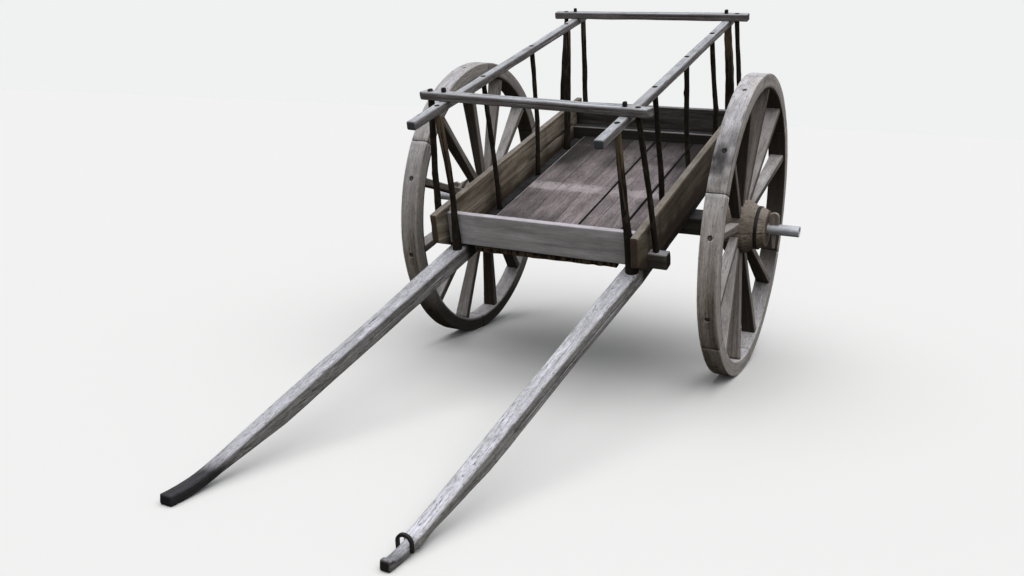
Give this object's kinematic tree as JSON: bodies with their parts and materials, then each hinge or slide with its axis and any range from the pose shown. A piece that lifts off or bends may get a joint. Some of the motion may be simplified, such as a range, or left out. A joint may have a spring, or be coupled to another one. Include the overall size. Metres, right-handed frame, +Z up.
{
  "type": "bullock cart",
  "caption": "Two-wheeled wooden bullock cart with dished spoked wheels, long shafts resting on the ground, a shallow plank box and a rack of sticks and rails.",
  "frame": {"origin": "on the ground, midway across the cart, and midway between the shaft tips and the rear ends of the shafts", "axes": "+Z up, +X to the right of someone who looks from the shaft tips towards the box, -Y the way the cart is drawn"},
  "size_m": [2.028, 3.527, 1.8397],
  "materials": {
    "hewn_timber": "weathered grey hewn hardwood",
    "box_board": "weathered sawn board",
    "floor_wood": "worn plank",
    "bark_stick": "natural stick with bark left on",
    "rack_wood": "weathered squared pole",
    "hub_wood": "turned hardwood, greasy and dusty",
    "spoke_wood": "shaved hardwood, weathered",
    "felloe_wood": "sawn hardwood, worn by the road",
    "pin_wood": "cut hardwood",
    "black_iron": "forged, black",
    "axle_steel": "dull steel tube"
  },
  "bodies": {
    "cart": {"axle_beam": "hewn_timber", "axle_pipe": "axle_steel", "board_front": "box_board", "board_rear": "box_board", "cross_beam_front": "hewn_timber", "cross_beam_rear": "hewn_timber", "crossbar_front": "rack_wood", "crossbar_rear": "rack_wood", "floor_bearers": "floor_wood", "floor_planks": "floor_wood", "linchpin_left": "pin_wood", "linchpin_right": "pin_wood", "picket_a_left": "bark_stick", "picket_a_right": "bark_stick", "picket_b_left": "bark_stick", "picket_b_right": "bark_stick", "picket_c_left": "bark_stick", "picket_c_right": "bark_stick", "picket_d_left": "bark_stick", "picket_d_right": "bark_stick", "picket_e_left": "bark_stick", "picket_e_right": "bark_stick", "picket_f_left": "bark_stick", "picket_f_right": "bark_stick", "picket_g_left": "bark_stick", "picket_g_right": "bark_stick", "rail_left": "rack_wood", "rail_pegs": "rack_wood", "rail_right": "rack_wood", "shaft_left": "hewn_timber", "shaft_right": "hewn_timber", "shaft_staple": "black_iron", "side_board_left": "box_board", "side_board_right": "box_board"},
    "wheel_left": {"hub_left": "hub_wood", "spokes_left": "spoke_wood", "hub_band_left": "black_iron", "felloes_left": "felloe_wood"},
    "wheel_right": {"hub_right": "hub_wood", "spokes_right": "spoke_wood", "hub_band_right": "black_iron", "felloes_right": "felloe_wood"}
  },
  "joints": [
    {"name": "wheel_left_spin", "type": "hinge", "parent": "cart", "child": "wheel_left", "pos_m": [-0.758, 0.91906, 0.75], "axis": [1, 0, 0], "continuous": true},
    {"name": "wheel_right_spin", "type": "hinge", "parent": "cart", "child": "wheel_right", "pos_m": [0.758, 0.91906, 0.75], "axis": [1, 0, 0], "continuous": true}
  ]
}
